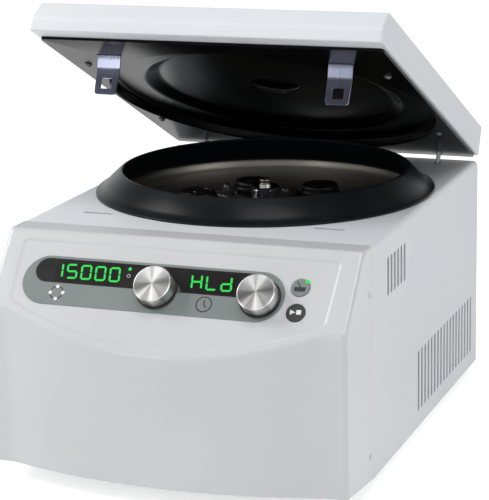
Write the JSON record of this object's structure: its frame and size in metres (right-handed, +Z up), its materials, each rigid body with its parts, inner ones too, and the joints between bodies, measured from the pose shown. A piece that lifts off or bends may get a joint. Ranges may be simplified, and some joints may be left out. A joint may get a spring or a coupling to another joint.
{
  "type": "cytocentrifuge",
  "caption": "Bench cytocentrifuge with a rear-hinged steel lid, a gasketed spin chamber, a swing-out rotor and a leaning control front.",
  "frame": {"origin": "centre of the footprint, at the undersides of the feet", "axes": "+X to the right of someone at the front, +Y to the back, +Z up; the front faces -Y"},
  "size_m": [0.3322, 0.4772, 0.4105],
  "materials": {
    "white_lacquer": "satin powder coat",
    "grey_moulding": "satin moulded plastic",
    "grey_label": "matt printed foil",
    "dark_window": "glossy tinted window",
    "black_plastic": "glossy moulded plastic",
    "black_rubber": "smooth moulded rubber",
    "bright_steel": "bright brushed steel",
    "turned_aluminium": "fine turned aluminium",
    "zinc_steel": "zinc plated sheet",
    "circuit_board": "solder resist",
    "cast_aluminium": "bead blasted"
  },
  "bodies": {
    "case": {"case_cover": "white_lacquer", "rear_panel": "white_lacquer", "front_fascia": "grey_moulding", "label_bar": "grey_label", "display_window": "dark_window", "lock_frame": "black_plastic", "power_inlet": "black_plastic", "switch_frame": "black_plastic", "bowl_gasket": "black_rubber", "motor_mount": "black_rubber", "foot_front_left": "black_rubber", "foot_front_right": "black_rubber", "foot_rear_left": "black_rubber", "foot_rear_right": "black_rubber", "bowl": "bright_steel", "hinge_rod": "bright_steel", "fascia_screw_left_low": "bright_steel", "fascia_screw_left_high": "bright_steel", "fascia_screw_right_low": "bright_steel", "fascia_screw_right_high": "bright_steel", "base_plate": "zinc_steel", "front_plate": "zinc_steel", "hinge_rail": "zinc_steel", "control_board": "circuit_board", "drive_board": "circuit_board", "motor_housing": "cast_aluminium"},
    "lid": {"lid_shell": "white_lacquer", "lid_liner": "black_plastic", "lid_port": "black_plastic", "latch_strip_left": "bright_steel", "latch_strip_right": "bright_steel", "hinge_arms": "bright_steel", "liner_screw_front_left": "bright_steel", "liner_screw_rear_left": "bright_steel", "liner_screw_front_right": "bright_steel", "liner_screw_rear_right": "bright_steel"},
    "rotor": {"motor_shaft": "bright_steel", "rotor_head": "cast_aluminium", "rotor_collar": "bright_steel", "rotor_screw": "bright_steel"},
    "speed_control": {"speed_knob": "black_plastic", "speed_knob_cap": "turned_aluminium"},
    "time_control": {"time_knob": "black_plastic", "time_knob_cap": "turned_aluminium"},
    "lid_key": {"lid_button": "grey_label"},
    "start_key": {"start_button": "dark_window"},
    "lock_bar": {"lock_slide": "bright_steel"},
    "switch_rocker": {"power_switch": "black_plastic"},
    "bucket_1_body": {"bucket_1": "black_plastic", "bucket_cap_1": "black_plastic"},
    "bucket_2_body": {"bucket_2": "black_plastic", "bucket_cap_2": "black_plastic"},
    "bucket_3_body": {"bucket_3": "black_plastic", "bucket_cap_3": "black_plastic"},
    "bucket_4_body": {"bucket_4": "black_plastic", "bucket_cap_4": "black_plastic"},
    "bucket_5_body": {"bucket_5": "black_plastic", "bucket_cap_5": "black_plastic"},
    "bucket_6_body": {"bucket_6": "black_plastic", "bucket_cap_6": "black_plastic"}
  },
  "joints": [
    {"name": "lid_hinge", "type": "hinge", "parent": "case", "child": "lid", "pos_m": [0, 0.21342, 0.2096], "axis": [-1, 0, 0], "range_deg": [-26, 0]},
    {"name": "rotor_spin", "type": "hinge", "parent": "case", "child": "rotor", "pos_m": [0, 0.04642, 0.198], "axis": [0, 0, 1], "continuous": true},
    {"name": "bucket_1_swing", "type": "hinge", "parent": "rotor", "child": "bucket_1_body", "pos_m": [0.07, 0.04642, 0.198], "axis": [0, -1, 0], "range_deg": [0, 90]},
    {"name": "bucket_2_swing", "type": "hinge", "parent": "rotor", "child": "bucket_2_body", "pos_m": [0.035, 0.10704, 0.198], "axis": [0.866, -0.5, 0], "range_deg": [0, 90]},
    {"name": "bucket_3_swing", "type": "hinge", "parent": "rotor", "child": "bucket_3_body", "pos_m": [-0.035, 0.10704, 0.198], "axis": [0.866, 0.5, 0], "range_deg": [0, 90]},
    {"name": "bucket_4_swing", "type": "hinge", "parent": "rotor", "child": "bucket_4_body", "pos_m": [-0.07, 0.04642, 0.198], "axis": [0, 1, 0], "range_deg": [0, 90]},
    {"name": "bucket_5_swing", "type": "hinge", "parent": "rotor", "child": "bucket_5_body", "pos_m": [-0.035, -0.0142, 0.198], "axis": [-0.866, 0.5, 0], "range_deg": [0, 90]},
    {"name": "bucket_6_swing", "type": "hinge", "parent": "rotor", "child": "bucket_6_body", "pos_m": [0.035, -0.0142, 0.198], "axis": [-0.866, -0.5, 0], "range_deg": [0, 90]},
    {"name": "speed_turn", "type": "hinge", "parent": "case", "child": "speed_control", "pos_m": [-0.0106, -0.20116, 0.18554], "axis": [0, -0.7547, 0.6561], "continuous": true},
    {"name": "time_turn", "type": "hinge", "parent": "case", "child": "time_control", "pos_m": [0.0835, -0.20116, 0.18554], "axis": [0, -0.7547, 0.6561], "continuous": true},
    {"name": "lid_button_press", "type": "slide", "parent": "case", "child": "lid_key", "axis": [0, 0.7547, -0.6561], "range_m": [0, 0.0008], "stiffness_N_per_m": 1200, "springref_m": -0.001},
    {"name": "start_button_press", "type": "slide", "parent": "case", "child": "start_key", "axis": [0, 0.7547, -0.6561], "range_m": [0, 0.0008], "stiffness_N_per_m": 1200, "springref_m": -0.001},
    {"name": "lock_throw", "type": "slide", "parent": "case", "child": "lock_bar", "axis": [0, 1, 0], "range_m": [0, 0.008]},
    {"name": "mains_rocker", "type": "hinge", "parent": "case", "child": "switch_rocker", "pos_m": [0.045, 0.21772, 0.048], "axis": [-1, 0, 0], "range_deg": [0, 16]}
  ]
}
